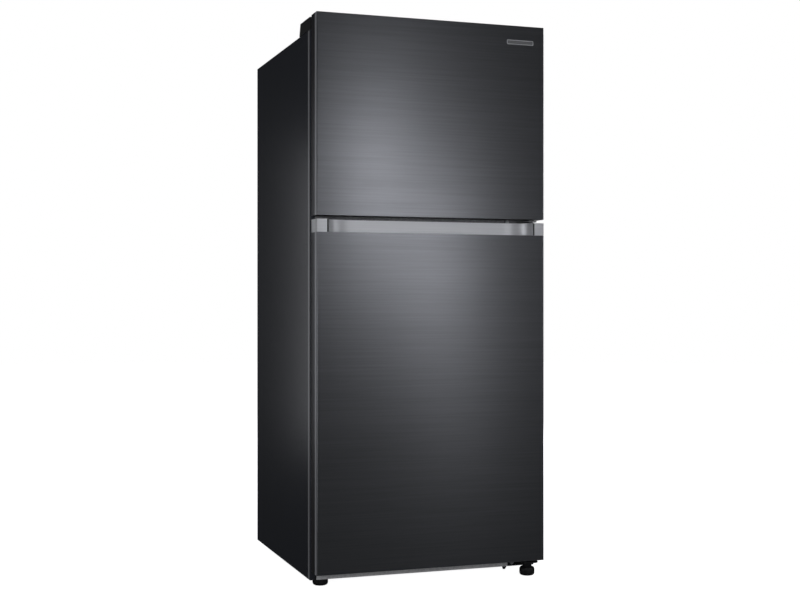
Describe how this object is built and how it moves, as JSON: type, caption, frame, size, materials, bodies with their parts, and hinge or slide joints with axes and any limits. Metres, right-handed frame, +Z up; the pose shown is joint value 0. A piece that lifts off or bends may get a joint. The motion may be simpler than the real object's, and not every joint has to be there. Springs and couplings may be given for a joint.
{
  "type": "top freezer refrigerator",
  "caption": "Free-standing top freezer refrigerator: dark brushed steel doors hinged on the right, silver pocket handle band, full interior and machine room.",
  "frame": {"origin": "on the floor under the middle of the whole body, doors included", "axes": "+X to the right seen from the front, +Y to the back, +Z up; the doors face -Y"},
  "size_m": [0.73, 0.78, 1.698],
  "materials": {
    "black_steel": "satin",
    "side_paint": "satin",
    "galvanised": "satin",
    "satin_silver": "satin",
    "black_plastic": "satin",
    "black_metal": "satin",
    "white_plastic": "satin",
    "clear_plastic": "gloss",
    "shelf_glass": "gloss",
    "frosted_lens": "satin",
    "foam": "matte",
    "gasket_rubber": "satin",
    "copper": "satin",
    "aluminium": "satin",
    "grey_plastic": "satin"
  },
  "bodies": {
    "cabinet": {"cabinet_wrap": "side_paint", "back_panel": "galvanised", "bottom_deck": "galvanised", "cabinet_foam": "foam", "freezer_liner": "white_plastic", "fridge_liner": "white_plastic", "centre_rail": "black_metal", "base_rail": "galvanised", "top_hinge": "black_metal", "top_hinge_cover": "black_plastic", "middle_hinge": "black_metal", "bottom_hinge": "black_metal", "foot_bracket_left": "black_metal", "evaporator_cover": "white_plastic", "evaporator": "aluminium", "evaporator_fan_motor": "grey_plastic", "freezer_shelf": "shelf_glass", "fridge_air_duct": "white_plastic", "control_panel": "white_plastic", "fridge_lamp_lens": "frosted_lens", "fridge_shelf_upper": "shelf_glass", "fridge_shelf_lower": "shelf_glass", "crisper_cover": "shelf_glass", "compressor_base": "galvanised", "compressor": "black_metal", "condenser_coil": "black_metal", "condenser_fan_shroud": "grey_plastic", "drain_pan": "black_plastic", "discharge_pipe": "copper", "rear_cover": "black_metal", "cord_gland": "black_plastic"},
    "freezer_door": {"freezer_door_skin": "black_steel", "freezer_door_top_cap": "black_plastic", "freezer_door_bottom_cap": "black_plastic", "freezer_door_foam": "foam", "freezer_door_liner": "white_plastic", "freezer_door_gasket": "gasket_rubber", "freezer_bin_lower": "clear_plastic", "freezer_bin_upper": "clear_plastic", "badge": "satin_silver"},
    "fridge_door": {"fridge_door_skin": "black_steel", "handle_cap": "satin_silver", "fridge_door_bottom_cap": "black_plastic", "fridge_door_foam": "foam", "fridge_door_liner": "white_plastic", "fridge_door_gasket": "gasket_rubber", "fridge_bin_lower": "clear_plastic", "fridge_bin_middle": "clear_plastic", "fridge_bin_upper": "clear_plastic"},
    "crisper_left": {"crisper_left": "clear_plastic"},
    "crisper_right": {"crisper_right": "clear_plastic"},
    "temperature_dial": {"temperature_dial": "grey_plastic"},
    "evaporator_fan_blade": {"evaporator_fan_blade": "white_plastic"},
    "condenser_fan_blade": {"condenser_fan_blade": "black_plastic"},
    "freezer_switch_plunger": {"freezer_switch_plunger": "white_plastic"},
    "fridge_switch_plunger": {"fridge_switch_plunger": "white_plastic"},
    "foot_left": {"foot_left": "black_plastic"},
    "foot_right": {"foot_right": "black_plastic"},
    "roller_left": {"roller_left": "grey_plastic"},
    "roller_right": {"roller_right": "grey_plastic"}
  },
  "joints": [
    {"name": "freezer_door_hinge", "type": "hinge", "parent": "cabinet", "child": "freezer_door", "pos_m": [0.335, -0.359, 1.1], "axis": [0, 0, 1], "range_deg": [0, 120]},
    {"name": "fridge_door_hinge", "type": "hinge", "parent": "cabinet", "child": "fridge_door", "pos_m": [0.335, -0.359, 0.06], "axis": [0, 0, 1], "range_deg": [0, 120]},
    {"name": "crisper_left_slide", "type": "slide", "parent": "cabinet", "child": "crisper_left", "axis": [0, -1, 0], "range_m": [0, 0.08]},
    {"name": "crisper_right_slide", "type": "slide", "parent": "cabinet", "child": "crisper_right", "axis": [0, -1, 0], "range_m": [0, 0.08]},
    {"name": "temperature_dial_turn", "type": "hinge", "parent": "cabinet", "child": "temperature_dial", "pos_m": [0.1, -0.06, 1.035], "axis": [0, 0, -1], "range_deg": [0, 270]},
    {"name": "evaporator_fan_spin", "type": "hinge", "parent": "cabinet", "child": "evaporator_fan_blade", "pos_m": [0, 0.264, 1.46], "axis": [0, 1, 0], "continuous": true},
    {"name": "condenser_fan_spin", "type": "hinge", "parent": "cabinet", "child": "condenser_fan_blade", "pos_m": [-0.048, 0.294, 0.134], "axis": [1, 0, 0], "continuous": true},
    {"name": "freezer_switch_travel", "type": "slide", "parent": "cabinet", "child": "freezer_switch_plunger", "axis": [0, -1, 0], "range_m": [0, 0.006]},
    {"name": "fridge_switch_travel", "type": "slide", "parent": "cabinet", "child": "fridge_switch_plunger", "axis": [0, -1, 0], "range_m": [0, 0.006]},
    {"name": "foot_left_height", "type": "slide", "parent": "cabinet", "child": "foot_left", "axis": [0, 0, -1], "range_m": [0, 0.012]},
    {"name": "foot_right_height", "type": "slide", "parent": "cabinet", "child": "foot_right", "axis": [0, 0, -1], "range_m": [0, 0.012]},
    {"name": "roller_left_roll", "type": "hinge", "parent": "cabinet", "child": "roller_left", "pos_m": [-0.296, 0.33, 0.02], "axis": [1, 0, 0], "continuous": true},
    {"name": "roller_right_roll", "type": "hinge", "parent": "cabinet", "child": "roller_right", "pos_m": [0.296, 0.33, 0.02], "axis": [1, 0, 0], "continuous": true}
  ],
  "couplings": [
    {"joint": "freezer_switch_travel", "follows": "freezer_door_hinge", "m_per_rad": 0.00286},
    {"joint": "fridge_switch_travel", "follows": "fridge_door_hinge", "m_per_rad": 0.00286}
  ]
}
